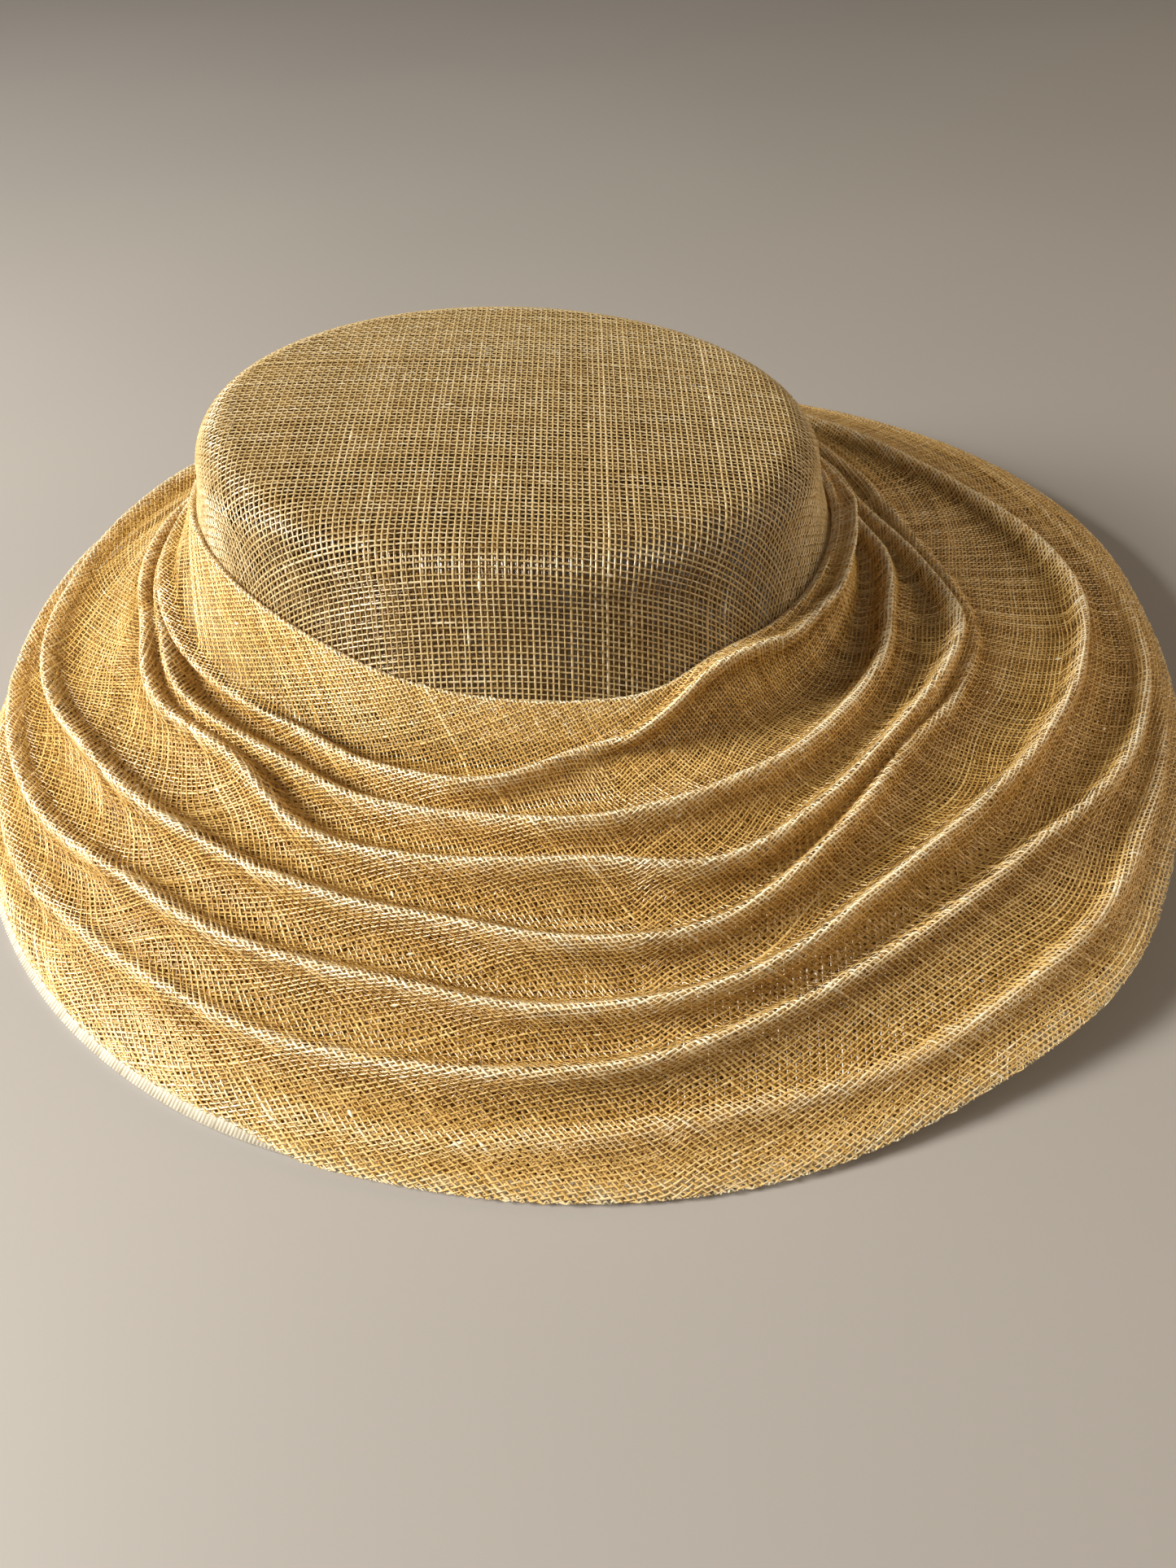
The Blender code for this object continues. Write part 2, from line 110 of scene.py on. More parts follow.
def blocked_cloth(place, pitch, steps, grain):
    """Crossings of a cloth pressed over a form: from the middle out, each lies one pitch
    from its two neighbours, on the form. Returns the flat map's coordinates."""
    rays = []
    for quarter in range(4):
        angle = grain + quarter * np.pi / 2
        t = np.linspace(0, 0.2, 4000)
        way = np.stack([t * np.cos(angle), t * np.sin(angle)], axis=1)
        line = place(way[:, 0], way[:, 1])
        length = np.concatenate([[0], np.cumsum(np.linalg.norm(np.diff(line, axis=0), axis=1))])
        at = np.interp(np.arange(steps + 1) * pitch, length, t)
        rays.append(np.stack([at * np.cos(angle), at * np.sin(angle)], axis=1))
    grid = np.full((4, steps + 1, steps + 1, 2), np.nan)
    for quarter in range(4):
        grid[quarter, :, 0] = rays[quarter]
        grid[quarter, 0, :] = rays[(quarter + 1) % 4]
    d = 1e-6
    for total in range(2, 2 * steps + 1):
        i = np.arange(max(1, total - steps), min(steps, total - 1) + 1)
        j = total - i
        near, far, corner = grid[:, i - 1, j], grid[:, i, j - 1], grid[:, i - 1, j - 1]
        one, two = place(near[..., 0], near[..., 1]), place(far[..., 0], far[..., 1])
        g = near + far - corner
        for _ in range(6):
            s = place(g[..., 0], g[..., 1])
            da = (place(g[..., 0] + d, g[..., 1]) - s) / d
            db = (place(g[..., 0], g[..., 1] + d) - s) / d
            u, v = s - one, s - two
            f1, f2 = (u * u).sum(-1) - pitch**2, (v * v).sum(-1) - pitch**2
            m11, m12 = 2 * (u * da).sum(-1), 2 * (u * db).sum(-1)
            m21, m22 = 2 * (v * da).sum(-1), 2 * (v * db).sum(-1)
            det = m11 * m22 - m12 * m21
            det = np.where(np.abs(det) < 1e-10, np.nan, det)
            step = np.stack([(f1 * m22 - f2 * m12) / det, (f2 * m11 - f1 * m21) / det], axis=-1)
            g = g - np.clip(step, -pitch, pitch)
        # A crossing that doesn't come out true, or that folds back on itself, is left out.
        s = place(g[..., 0], g[..., 1])
        miss = np.abs(np.linalg.norm(s - one, axis=-1) - pitch)
        miss = np.maximum(miss, np.abs(np.linalg.norm(s - two, axis=-1) - pitch))
        back = np.linalg.norm(s - place(corner[..., 0], corner[..., 1]), axis=-1)
        bad = ~((miss < 0.02 * pitch) & (back > 0.35 * pitch))
        g[bad] = np.nan
        grid[:, i, j] = g
    whole = np.full((2 * steps + 1, 2 * steps + 1, 2), np.nan)
    i, j = np.meshgrid(np.arange(steps + 1), np.arange(steps + 1), indexing="ij")
    for quarter, (u, v) in enumerate(((i, j), (-j, i), (-i, -j), (j, -i))):
        whole[u + steps, v + steps] = grid[quarter]
    return whole


def wander(rng, count, reach):
    """A smooth random walk about nought, for a thread's drift."""
    kernel = np.hanning(2 * reach + 3)
    kernel = kernel / np.sqrt((kernel**2).sum())
    steps = rng.normal(size=count + 2 * reach + 2)
    return np.convolve(steps, kernel, mode="valid")[:count]


def spun(rng, threads, steps, width, pale):
    """Half widths and tones along a family of threads, and the drift that makes them uneven. A
    few are thick and some have slubs. pale is painted light: a painted highlight or painted
    shade added to the tone, and the threads are a little wider under a painted highlight."""
    thick = rng.lognormal(0.0, THREAD_SPREAD, threads)
    thick[rng.random(threads) < THICK_SHARE] *= THICKER
    uneven = np.stack([wander(rng, steps, 9) for _ in range(threads)])
    slub = np.stack([wander(rng, steps, 1) for _ in range(threads)])
    slub = np.clip(slub - 2.6, 0, 1)
    half = 0.5 * width * np.clip(thick[:, None] * (1 + 0.13 * uneven) + slub, 0.5, 2.0)
    half = half * (1 + PALE_WIDER * np.maximum(pale, 0))
    tone = 0.5 + rng.normal(0, 0.03, threads) + 0.2 * (thick - 1)
    tone = tone[:, None] + 0.5 * slub
    # Painted highlight and painted shade go into the tone here.
    tone = tone + pale + 0.05 * np.stack([wander(rng, steps, 2) for _ in range(threads)])
    return half, tone, uneven


def spans_between(middle, segment, halves):
    """Which points are joined, and how many steps on: the point halfway between two crossings
    is left out where the thread is straight enough."""
    if halves == 1:
        return [(segment, 1)]
    bend = 0.5 * (middle[:, :-2:2] + middle[:, 2::2]) - middle[:, 1:-1:2]
    straight = np.linalg.norm(bend, axis=2) < STRAIGHT_ENOUGH
    straight &= segment[:, :-1:2] & segment[:, 1::2]
    short, long = segment.copy(), np.zeros((len(segment), segment.shape[1] - 1), bool)
    short[:, :-1:2] &= ~straight
    short[:, 1::2] &= ~straight
    long[:, ::2] = straight
    return [(short, 1), (long, 2)]


def weave(name, places, outward, keep, owner, width, rise, ridge, twist, seed, halves=1,
          painted_light=None):
    """A mesh of two families of threads that pass over and under each other. places are the
    crossings, with the points halfway between them too where halves is 2, owner marks those
    whose threads belong to this mesh, and the last argument is painted light there: a painted
    highlight above nought, painted shade below it. A thread is a low ridge or a twisted strip."""
    rng = np.random.default_rng(seed)
    points, lit, tones, faces, first = [], [], [], [], 0
    if painted_light is None:
        painted_light = np.zeros(keep.shape)
    for family in (0, 1):
        fields = (v.swapaxes(0, 1) if family else v for v in (places, outward, keep, owner, painted_light))
        p, n, k, own, pale = (v[::halves] for v in fields)
        threads, steps = k.shape
        over = np.cos(np.pi * (np.arange(threads)[:, None] + np.arange(steps) / halves + family))
        before = np.concatenate([p[:, :1], p[:, :-1]], axis=1)
        after = np.concatenate([p[:, 1:], p[:, -1:]], axis=1)
        before = np.where(np.isfinite(before), before, p)
        after = np.where(np.isfinite(after), after, p)
        side = unit(np.cross(n, unit(after - before)))
        half, tone, uneven = spun(rng, threads, steps, width, pale)
        drift = THREAD_DRIFT * uneven[:, ::-1]
        middle = p + n * (rise * over)[..., None] + side * drift[..., None]
        spans = spans_between(middle, k[:, :-1] & k[:, 1:] & own[:, :-1], halves)
        used = np.zeros_like(k)
        for span, hop in spans:
            used[:, :-hop] |= span
            used[:, hop:] |= span
        index = np.full(k.shape, -1)
        index[used] = np.arange(used.sum())
        h, m, s, o = half[used][:, None], middle[used], side[used], n[used]
        if ridge:
            rows = [m + s * h, m + o * ridge, m - s * h]
            round_rows = [0.5 * o + 0.87 * s, o, 0.5 * o - 0.87 * s]
        else:
            turned = twist * (rng.choice([-1, 1], threads)[:, None] + 0.2 * uneven)
            turned = turned[used][:, None]
            across = s * np.cos(turned) + o * np.sin(turned)
            rows = [m + across * h, m - across * h]
            round_rows = [0.6 * o + 0.8 * s, 0.6 * o - 0.8 * s]
        lit.append(unit(np.stack(round_rows, axis=1)).reshape(-1, 3))
        rows = np.stack(rows, axis=1)
        wide = rows.shape[1]
        points.append(rows.reshape(-1, 3))
        tones.append(np.repeat(tone[used], wide))
        for span, hop in spans:
            a = first + wide * index[:, :-hop][span]
            b = first + wide * index[:, hop:][span]
            for strip in range(wide - 1):
                faces.append(np.stack([a + strip + 1, b + strip + 1, b + strip, a + strip], axis=1))
        first += wide * int(used.sum())
    points, faces, tones = np.concatenate(points), np.concatenate(faces), np.concatenate(tones)
    return thread_object(name, points, faces, tones, np.concatenate(lit))


def thread_object(name, points, faces, tones, lit=None):
    """An object of quads with a tone for each point, shaded as round where lit is given."""
    mesh = bpy.data.meshes.new(name)
    mesh.vertices.add(len(points))
    mesh.vertices.foreach_set("co", (points + MIDDLE).astype(np.float32).ravel())
    mesh.loops.add(4 * len(faces))
    mesh.loops.foreach_set("vertex_index", faces.astype(np.int32).ravel())
    mesh.polygons.add(len(faces))
    mesh.polygons.foreach_set("loop_start", np.arange(0, 4 * len(faces), 4, dtype=np.int32))
    mesh.update(calc_edges=True)
    mesh.shade_smooth()
    if lit is not None:
        mesh.normals_split_custom_set_from_vertices(lit.tolist())
    tone = mesh.attributes.new("tone", "FLOAT", "POINT")
    tone.data.foreach_set("value", tones.astype(np.float32))
    piece = bpy.data.objects.new(name, mesh)
    bpy.context.collection.objects.link(piece)
    return piece


def new_material(name):
    material = bpy.data.materials.new(name)
    material.use_nodes = True
    return material, material.node_tree.nodes, material.node_tree.links


def clouds(nodes, links, scale, detail):
    """A cloudy pattern that stays with the piece."""
    where, pattern = nodes.new("ShaderNodeTexCoord"), nodes.new("ShaderNodeTexNoise")
    pattern.inputs["Scale"].default_value = scale
    pattern.inputs["Detail"].default_value = detail
    links.new(where.outputs["Object"], pattern.inputs["Vector"])
    return pattern.outputs["Fac"]


def with_tone(nodes, links, pattern):
    """Each point's own tone, and a little of the pattern."""
    tone, mix = nodes.new("ShaderNodeAttribute"), nodes.new("ShaderNodeMath")
    tone.attribute_name = "tone"
    mix.operation = "MULTIPLY_ADD"
    mix.inputs[1].default_value = 0.30
    links.new(pattern, mix.inputs[0])
    links.new(tone.outputs["Fac"], mix.inputs[2])
    return mix.outputs[0]


def dyed(nodes, links, by, low, high, *between):
    """The material's colour by a value: each of its colours comes after the value it is at."""
    ramp = nodes.new("ShaderNodeValToRGB")
    stops = ramp.color_ramp.elements
    for stop, (at, colour) in zip(stops, (low, high)):
        stop.position, stop.color = at, (*colour, 1)
    for at, colour in between:
        stops.new(at).color = (*colour, 1)
    links.new(by, ramp.inputs["Fac"])
    links.new(ramp.outputs["Color"], nodes["Principled BSDF"].inputs["Base Color"])
    return ramp.outputs["Color"]


def embossed(nodes, links, pattern, strength, depth):
    """Fine relief in the material's own surface."""
    bump = nodes.new("ShaderNodeBump")
    bump.inputs["Strength"].default_value = strength
    bump.inputs["Distance"].default_value = depth
    links.new(pattern, bump.inputs["Height"])
    links.new(bump.outputs["Normal"], nodes["Principled BSDF"].inputs["Normal"])


def straw(name, deep, gold, pale, through):
    """Dyed abaca fibre: glossy, streaky, and it lets some light through."""
    material, nodes, links = new_material(name)
    shader, out = nodes["Principled BSDF"], nodes["Material Output"]
    streaks = with_tone(nodes, links, clouds(nodes, links, 420.0, 3.0))
    colour = dyed(nodes, links, streaks, (0.40, deep), (0.95, pale), (0.65, gold))
    grain = clouds(nodes, links, 1500.0, 2.0)
    rough = nodes.new("ShaderNodeMapRange")
    rough.inputs["To Min"].default_value = 0.14
    rough.inputs["To Max"].default_value = 0.42
    links.new(grain, rough.inputs["Value"])
    links.new(rough.outputs["Result"], shader.inputs["Roughness"])
    embossed(nodes, links, grain, 0.25, 0.00025)
    shader.inputs["Specular IOR Level"].default_value = 1.0
    lit = nodes.new("ShaderNodeBsdfTranslucent")
    links.new(colour, lit.inputs["Color"])
    both = nodes.new("ShaderNodeMixShader")
    both.inputs["Fac"].default_value = through
    links.new(shader.outputs["BSDF"], both.inputs[1])
    links.new(lit.outputs["BSDF"], both.inputs[2])
    links.new(both.outputs["Shader"], out.inputs["Surface"])
    return material


def outward_of(place, flat, inset):
    """The form's outward direction over points of its flat map."""
    d = 1e-5
    a, b = flat[..., 0], flat[..., 1]
    across = place(a + d, b, inset) - place(a - d, b, inset)
    return unit(np.cross(across, place(a, b + d, inset) - place(a, b - d, inset)))


# Each layer's name, depth under the block's surface, turn of the grain, thread spacing, thread
# width, rise over a crossing, ridge along a thread, and seed.
CROWN_LAYERS = (
    ("crown_outer_cloth", 0.00035, 0.0, PITCH, 0.00046, 0.00014, 0.00020, 11),
    ("crown_inner_cloth", 0.00105, GRAIN_TURN, PITCH * 1.02, 0.00084, 0.00010, 0, 12),
)
crown_straws = (
    straw("crown_straw", (0.38, 0.24, 0.085), (0.70, 0.53, 0.25), (0.98, 0.88, 0.64), 0.35),
    # The inner layer is the same sinamay, its straw painted dark as painted shade of the crown's
    # inside.
    straw("crown_lining_painted_shade_straw",
          (0.15, 0.075, 0.018), (0.30, 0.165, 0.042), (0.50, 0.32, 0.11), 0.45),
)
lowest = JOIN_HEIGHT + CUT_ABOVE_JOIN
for layer, material in zip(CROWN_LAYERS, crown_straws):
    name, inset, grain, pitch, width, rise, ridge, seed = layer
    flat = blocked_cloth(lambda a, b: crown_place(a, b, inset), pitch, STEPS_FROM_MIDDLE, grain)
    uneven = CROWN_UNEVEN * np.random.default_rng(seed).normal(size=(2, len(flat)))
    across_one, across_two = np.gradient(flat, axis=0), np.gradient(flat, axis=1)
    flat = flat + np.nan_to_num(across_one) * uneven[0][:, None, None]
    flat = flat + np.nan_to_num(across_two) * uneven[1][None, :, None]
    places = crown_place(flat[..., 0], flat[..., 1], inset)
    keep = np.isfinite(places[..., 0]) & (np.nan_to_num(places[..., 2]) > lowest)
    outward = outward_of(crown_place, flat, inset)
    cloth = weave(name, places, outward, keep, keep, width, rise, ridge, CROWN_TWIST, seed)
    cloth.data.materials.append(material)
    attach(cloth, "root")
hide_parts("crown")

# The brim.
# A foundation of stiffened sinamay, blocked in one shallow bell and sewn to the crown's foot.
# It stands on its edge at the front, left and back, and lifts on the wide side to the right.

EDGE_MM = (181, 185, 185, 184, 186, 187, 187, 186, 185, 184, 184, 184,
           183, 184, 185, 186, 185, 182, 182, 183, 184, 187, 182, 180)
RIGHT_LIFT = 0.016
LIFT_STARTS_AT = 0.2
CROWN_WALL = 0.0014
RIBBON_WIDTH = 0.0040
RIBBON_THICKNESS = 0.0013
BRIM_UNEVEN = 0.06
BRIM_CLOTH_INSET = 0.0006
RIBBON_LAP = 0.001


def round_the_hat(values_mm, azimuth):
    """Even steps round the hat, joined by a closed Catmull-Rom curve, in metres."""
    values = np.array(values_mm, float) / 1000
    at = np.degrees(azimuth) % 360 / (360.0 / len(values))
    i = np.floor(at).astype(int)
    t = at - i
    before, here, after, beyond = (values[(i + k) % len(values)] for k in (-1, 0, 1, 2))
    return here + 0.5 * t * (
        after - before
        + t * (2 * before - 5 * here + 4 * after - beyond)
        + t * t * (3 * (here - after) + beyond - before)
    )


def ease(t):
    t = np.clip(t, 0, 1)
    return t * t * (3 - 2 * t)


def edge_radius(azimuth):
    return round_the_hat(EDGE_MM, azimuth)


def edge_height(azimuth):
    return RIGHT_LIFT * ease((np.cos(azimuth) - LIFT_STARTS_AT) / (1 - LIFT_STARTS_AT))


def oval_radius(azimuth, outside):
    """Distance from the brim's middle to an oval round the crown."""
    a, b = CROWN_HALF_LENGTH + outside, CROWN_HALF_WIDTH + outside
    dx, dy = np.cos(azimuth), np.sin(azimuth)
    p = (dx / a) ** 2 + (dy / b) ** 2
    q = dx * CROWN_MIDDLE[0] / a**2 + dy * CROWN_MIDDLE[1] / b**2
    c = (CROWN_MIDDLE[0] / a) ** 2 + (CROWN_MIDDLE[1] / b) ** 2 - 1
    return (q + np.sqrt(q * q - p * c)) / p


def edge_slope(azimuth):
    fall = JOIN_HEIGHT - edge_height(azimuth) - RIBBON_THICKNESS
    return np.arctan(np.pi / 2 * fall / (edge_radius(azimuth) - oval_radius(azimuth, FLARE)))


def brim_height(azimuth, radius):
    """The top of the brim: level at the crown and steepest at the edge."""
    inner, outer = oval_radius(azimuth, FLARE), edge_radius(azimuth)
    low = edge_height(azimuth) + RIBBON_THICKNESS / np.cos(edge_slope(azimuth))
    t = np.clip((radius - inner) / (outer - inner), 0, 1)
    return low + (JOIN_HEIGHT - low) * np.cos(np.pi / 2 * t)


def in_space(azimuth, radius, z):
    return np.stack([radius * np.cos(azimuth), radius * np.sin(azimuth), z], axis=-1)


def even_steps(line, step, most):
    """Sections of a surface, [azimuth, point, xyz and more], resampled along each one."""
    runs = np.linalg.norm(np.diff(line[..., :3], axis=1), axis=2)
    length = np.concatenate([np.zeros((len(line), 1)), np.cumsum(runs, axis=1)], axis=1)
    at = np.arange(most) * step
    even = np.empty((len(line), most, line.shape[2]))
    for k in range(len(line)):
        for c in range(line.shape[2]):
            even[k, :, c] = np.interp(at, length[k], line[k, :, c])
    return even, length[:, -1]


def lie_on(line, azimuth, along):
    """Carries points of a cloth, given by azimuth and by the way along a section, to the
    surface that the sections draw from azimuth -270 to 90 degrees."""
    step = 0.0004
    longest = np.linalg.norm(np.diff(line[..., :3], axis=1), axis=2).sum(axis=1).max()
    even, length = even_steps(line, step, int(longest / step) + 3)
    count = len(line) - 1
    slope_s = np.gradient(even[..., :3], axis=1)
    slope_a = np.roll(even[:-1, :, :3], -1, axis=0) - np.roll(even[:-1, :, :3], 1, axis=0)
    slope_a = np.concatenate([slope_a, slope_a[:1]])
    outward = unit(np.cross(slope_s, slope_a))
    at = (np.degrees(azimuth) + 270) / 360 * count
    k = np.floor(at).astype(int) % count
    f = (at - np.floor(at))[..., None]
    keep = (along >= 0) & (along <= length[k] * (1 - f[..., 0]) + length[k + 1] * f[..., 0])
    m = np.clip(np.where(keep, along, 0) / step, 0, even.shape[1] - 1.001)
    low = np.floor(m).astype(int)
    g = (m - low)[..., None]

    def between(field):
        one = field[k, low] * (1 - g) + field[k, low + 1] * g
        two = field[k + 1, low] * (1 - g) + field[k + 1, low + 1] * g
        return one * (1 - f) + two * f

    places = between(even)
    places[~keep] = np.nan
    return places, unit(between(outward)), keep


turn_steps = np.radians(np.linspace(-270, 90, 721))
inner = oval_radius(turn_steps, FLARE) - CROWN_WALL * 0.6
outer = edge_radius(turn_steps) - (RIBBON_WIDTH - RIBBON_LAP) * np.cos(edge_slope(turn_steps))
share = np.linspace(0, 1, 160)[None, :]
radius = inner[:, None] + (outer - inner)[:, None] * share
brim_line = in_space(turn_steps[:, None] + 0 * share, radius,
                     brim_height(turn_steps[:, None], radius) - BRIM_CLOTH_INSET)
# Each layer's name, depth, thread spacing, thread width, twist, rise over a crossing, and seed.
BRIM_LAYERS = (
    ("brim_cloth", 0.0, 0.0019, 0.00095, 0.25, 0.00010, 22),
    ("brim_under_cloth", 0.0006, 0.0023, 0.0018, 0.05, 0.00008, 23),
)
# The brim's sinamay is painted darker than the swathe's, the under layer darkest, as painted shade
# under the swathe.
brim_straws = (
    straw("brim_painted_shade_straw", (0.34, 0.17, 0.03), (0.56, 0.325, 0.072), (0.74, 0.50, 0.16), 0.4),
    straw("brim_under_painted_shade_straw", (0.22, 0.10, 0.016), (0.36, 0.185, 0.036), (0.50, 0.30, 0.075), 0.4),
)
for layer, material in zip(BRIM_LAYERS, brim_straws):
    name, sunk, pitch, width, twist, rise, seed = layer
    reach = int((outer.max() + 0.004) / pitch)
    i = np.arange(-reach, reach + 1)
    uneven = np.random.default_rng(seed).normal(0, BRIM_UNEVEN, (2, len(i)))
    u, v = np.meshgrid((i + uneven[0]) * pitch, (i + uneven[1]) * pitch, indexing="ij")
    azimuth = (np.arctan2(v, u) + 3 * np.pi / 2) % (2 * np.pi) - 3 * np.pi / 2
    starts = np.interp(azimuth, turn_steps, inner)
    places, outward, keep = lie_on(brim_line, azimuth, np.hypot(u, v) - starts)
    places = places - outward * sunk
    cloth = weave(name, places, outward, keep, keep, width, rise, 0, twist, seed)
    cloth.data.materials.append(material)
    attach(cloth, "root")
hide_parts("brim")

# The edge ribbon.
# A narrow ribbed petersham ribbon in cream, folded over the brim's edge and machined down. It
# is bare at the front left, where the swathe stops short of it, and the hat stands on it.

RIBS = 1150
GROOVE = 0.00024
# The painted shade in each groove, for each metre of its depth.
GROOVE_PAINTED_SHADE = 1300
# The ribbon's section: share of its width inwards from the edge, and height over its sole.
RIBBON_SECTION = ((0.30, 0.0), (0.0, 0.0), (-0.02, 0.5), (0.0, 0.92), (0.12, 1.0),
                  (0.88, 1.0), (1.0, 0.85), (1.0, 0.1))
rib = np.arange(2 * RIBS)
azimuth = rib * np.pi / RIBS
radius, low, slope = edge_radius(azimuth), edge_height(azimuth), edge_slope(azimuth)
rows = []
groove = np.where(rib % 2 == 0, GROOVE, 0.0)
for inwards, over in RIBBON_SECTION:
    back = inwards * RIBBON_WIDTH
    lift = np.maximum(over * RIBBON_THICKNESS - groove * (over > 0.2), 0)
    flat_foot = 1.0 if inwards <= 0.3 and over == 0 else 0.0
    r = radius - back * np.cos(slope) + lift * np.sin(slope) * (0 if inwards < 0.05 else 1)
    z = low + back * np.sin(slope) * (1 - flat_foot) + lift * np.cos(slope)
    rows.append(in_space(azimuth, r, z))
rows = np.array(rows)
count, around = rows.shape[:2]
row, col = np.meshgrid(np.arange(count), np.arange(around), indexing="ij")
next_row, next_col = (row + 1) % count, (col + 1) % around
faces = np.stack([row * around + col, row * around + next_col,
                  next_row * around + next_col, next_row * around + col], axis=-1).reshape(-1, 4)
# Each point's tone is random, with painted shade in the grooves.
shade = np.random.default_rng(31).normal(0.5, 0.06, (count, around)) - GROOVE_PAINTED_SHADE * groove
ribbon = thread_object("edge_ribbon_weave", rows.reshape(-1, 3), faces, shade.ravel())
cream, nodes, links = new_material("ribbon_cream")
fuzz = clouds(nodes, links, 300.0, 4.0)
dyed(nodes, links, with_tone(nodes, links, fuzz),
     (0.35, (0.28, 0.24, 0.17)), (0.7, (0.60, 0.56, 0.47)))
embossed(nodes, links, fuzz, 0.3, 0.0001)
nodes["Principled BSDF"].inputs["Roughness"].default_value = 0.62
ribbon.data.materials.append(cream)
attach(ribbon, "root")
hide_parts("edge_ribbon")

# The swathe.
# One long piece of softer sinamay cut on the cross, pleated round the crown's foot and over
# the brim. Its pleats are pinched upright by hand and caught with a few hidden stitches, its
# borders are turned under, and the threads run aslant over every pleat.

BORDER_MM = (62, 62, 61, 60, 60, 60, 60, 62, 64, 66, 68, 70,
             70, 71, 69, 65, 60, 57, 55, 54, 58, 58, 59, 61)
# A row for each pleat, from the crown outwards: its crest's radius every 15 degrees.
CRESTS_MM = (
    (77, 78, 79, 80, 81, 84, 88, 95, 103, 108, 113, 118,
     121, 119, 113, 107, 107, 102, 88, 79, 75, 75, 76, 76),
    (92, 89, 92, 94, 97, 100, 103, 106, 110, 114, 118, 122,
     125, 123, 123, 118, 116, 111, 109, 106, 102, 99, 97, 93),
    (102, 95, 98, 101, 105, 109, 113, 117, 121, 125, 128, 130,
     131, 128, 130, 124, 127, 123, 120, 122, 117, 113, 113, 112),
    (108, 104, 106, 111, 117, 124, 131, 138, 145, 151, 156, 159,
     160, 158, 150, 143, 139, 136, 136, 134, 125, 118, 118, 117),
    (152, 141, 130, 128, 132, 139, 147, 155, 162, 167, 171, 173,
     174, 171, 166, 158, 154, 149, 149, 147, 141, 139, 143, 148),
    (173, 172, 171, 170, 170, 172, 174, 175, 176, 177, 178, 178,
     179, 178, 176, 171, 167, 163, 161, 156, 152, 154, 162, 169),
    (177, 178, 177, 177, 178, 180, 181, 180, 180, 180, 181, 181,
     181, 181, 181, 180, 179, 176, 172, 170, 173, 175, 174, 174),
)
# The same pleats' heights every 30 degrees.
HEIGHTS_MM = (
    (7, 4, 3, 3, 3, 4, 5, 6, 8, 8, 9, 9),
    (6, 4, 4, 4, 4, 5, 6, 7, 8, 9, 8, 7),
    (5, 4, 4, 4, 5, 6, 7, 8, 8, 10, 8, 8),
    (3, 3, 4, 4, 5, 6, 7, 8, 8, 9, 8, 6),
    (7, 5, 3, 3, 4, 5, 6, 7, 7, 8, 9, 9),
    (2, 1, 1, 2, 2, 2, 3, 3, 4, 7, 6, 6),
    (1, 1, 1, 1, 1, 1, 1, 1, 1, 2, 3, 3),
)
PLEAT_HALF_WIDTH = 0.0024
PINCH_SHARPNESS = 2.4
PLEAT_TOE = 0.0055
PLEAT_TOE_SHARE = 0.26
PLEAT_APRON_SHARE = 0.42
PLEAT_APRON_REACH = 0.60
PLEAT_LEAN_LEFT = 0.60
PLEAT_LEAN_FRONT = 0.06
CREST_WAVER = 0.0007
HEIGHT_WAVER = 0.10
LEAST_SPACING = 0.0042
LEAST_FROM_BORDER = 0.0018
OFF_WALL = 0.0007
OFF_BRIM = 0.0004
CORNER_ROUNDING = 0.0025
OVERHANG = 0.0018
LIP_INSET = 0.0003
END_INSET = 0.0008
RIBBON_SHOWS = 0.0011
BARE_FROM, BARE_TO, BARE_FADE = 192, 252, 9
# How much of the border and of the hem is turned under.
BORDER_TURNED = 0.004
BORDER_FOLD = 0.0006
HEM_TURNED = 0.013
# How far the cloth stands over its bed: what shows, its start under the border, and the hem.
SKIN_LIFT = 0.0010
START_LIFT = 0.0003
HEM_LIFT = 0.0002
# The swathe's own weave is a little closer, and pulled askew: the angles of its two families
# of threads from the way outwards, at the front, and its turn for each turn of the hat.
THREAD_ANGLES = (108, 42)
FRONT = -98
STRIP_TURN = 0.2
MEAN_RADIUS = 0.145
MIDDLE_OF_CLOTH = 0.100
SWATHE_PITCH = 0.0013
SWATHE_THREAD = 0.00044
SWATHE_RISE = 0.00013
SWATHE_TWIST = 0.3
SWATHE_UNEVEN = 0.06
# The second layer behind a pleat's outer face takes up this share of the way to the next one.
DOUBLED_SHARE = 0.42
LOWEST_DOUBLED = 0.0015
DOUBLED_DEPTH = 0.0006
DOUBLED_PITCH = 0.0015
DOUBLED_THREAD = 0.00054
# How far a point stands over the cloth this far from it, and the painted highlight on a
# crest and the painted shade in a valley that this gives.
RELIEF_REACH = 0.005
CREST_RELIEF, CREST_PAINTED_HIGHLIGHT = 0.0040, 0.25
VALLEY_RELIEF, VALLEY_PAINTED_SHADE = 0.0010, 0.14


def border_height(azimuth):
    return round_the_hat(BORDER_MM, azimuth)


def border_radius(azimuth):
    """The swathe's upper border, where it lies on the tilted crown's wall."""
    z = border_height(azimuth)
    x = CROWN_HALF_LENGTH * np.cos(azimuth)
    lift = TOP_SLOPE * x * (z - JOIN_HEIGHT) / (CROWN_TOP - JOIN_HEIGHT)
    return oval_radius(azimuth, flare_at(z - lift)) + OFF_WALL


def bed_height(azimuth, radius):
    """What the swathe lies on: the crown's wall, a rounded corner, and then the brim."""
    foot = oval_radius(azimuth, FLARE) + OFF_WALL
    run = np.maximum(foot - border_radius(azimuth), 1e-6)
    wall = JOIN_HEIGHT + (foot - radius) * (border_height(azimuth) - JOIN_HEIGHT) / run
    brim = brim_height(azimuth, radius) + OFF_BRIM
    apart = np.abs(wall - brim) / CORNER_ROUNDING
    return np.maximum(wall, brim) + CORNER_ROUNDING * np.log1p(np.exp(-apart)) * 0.8


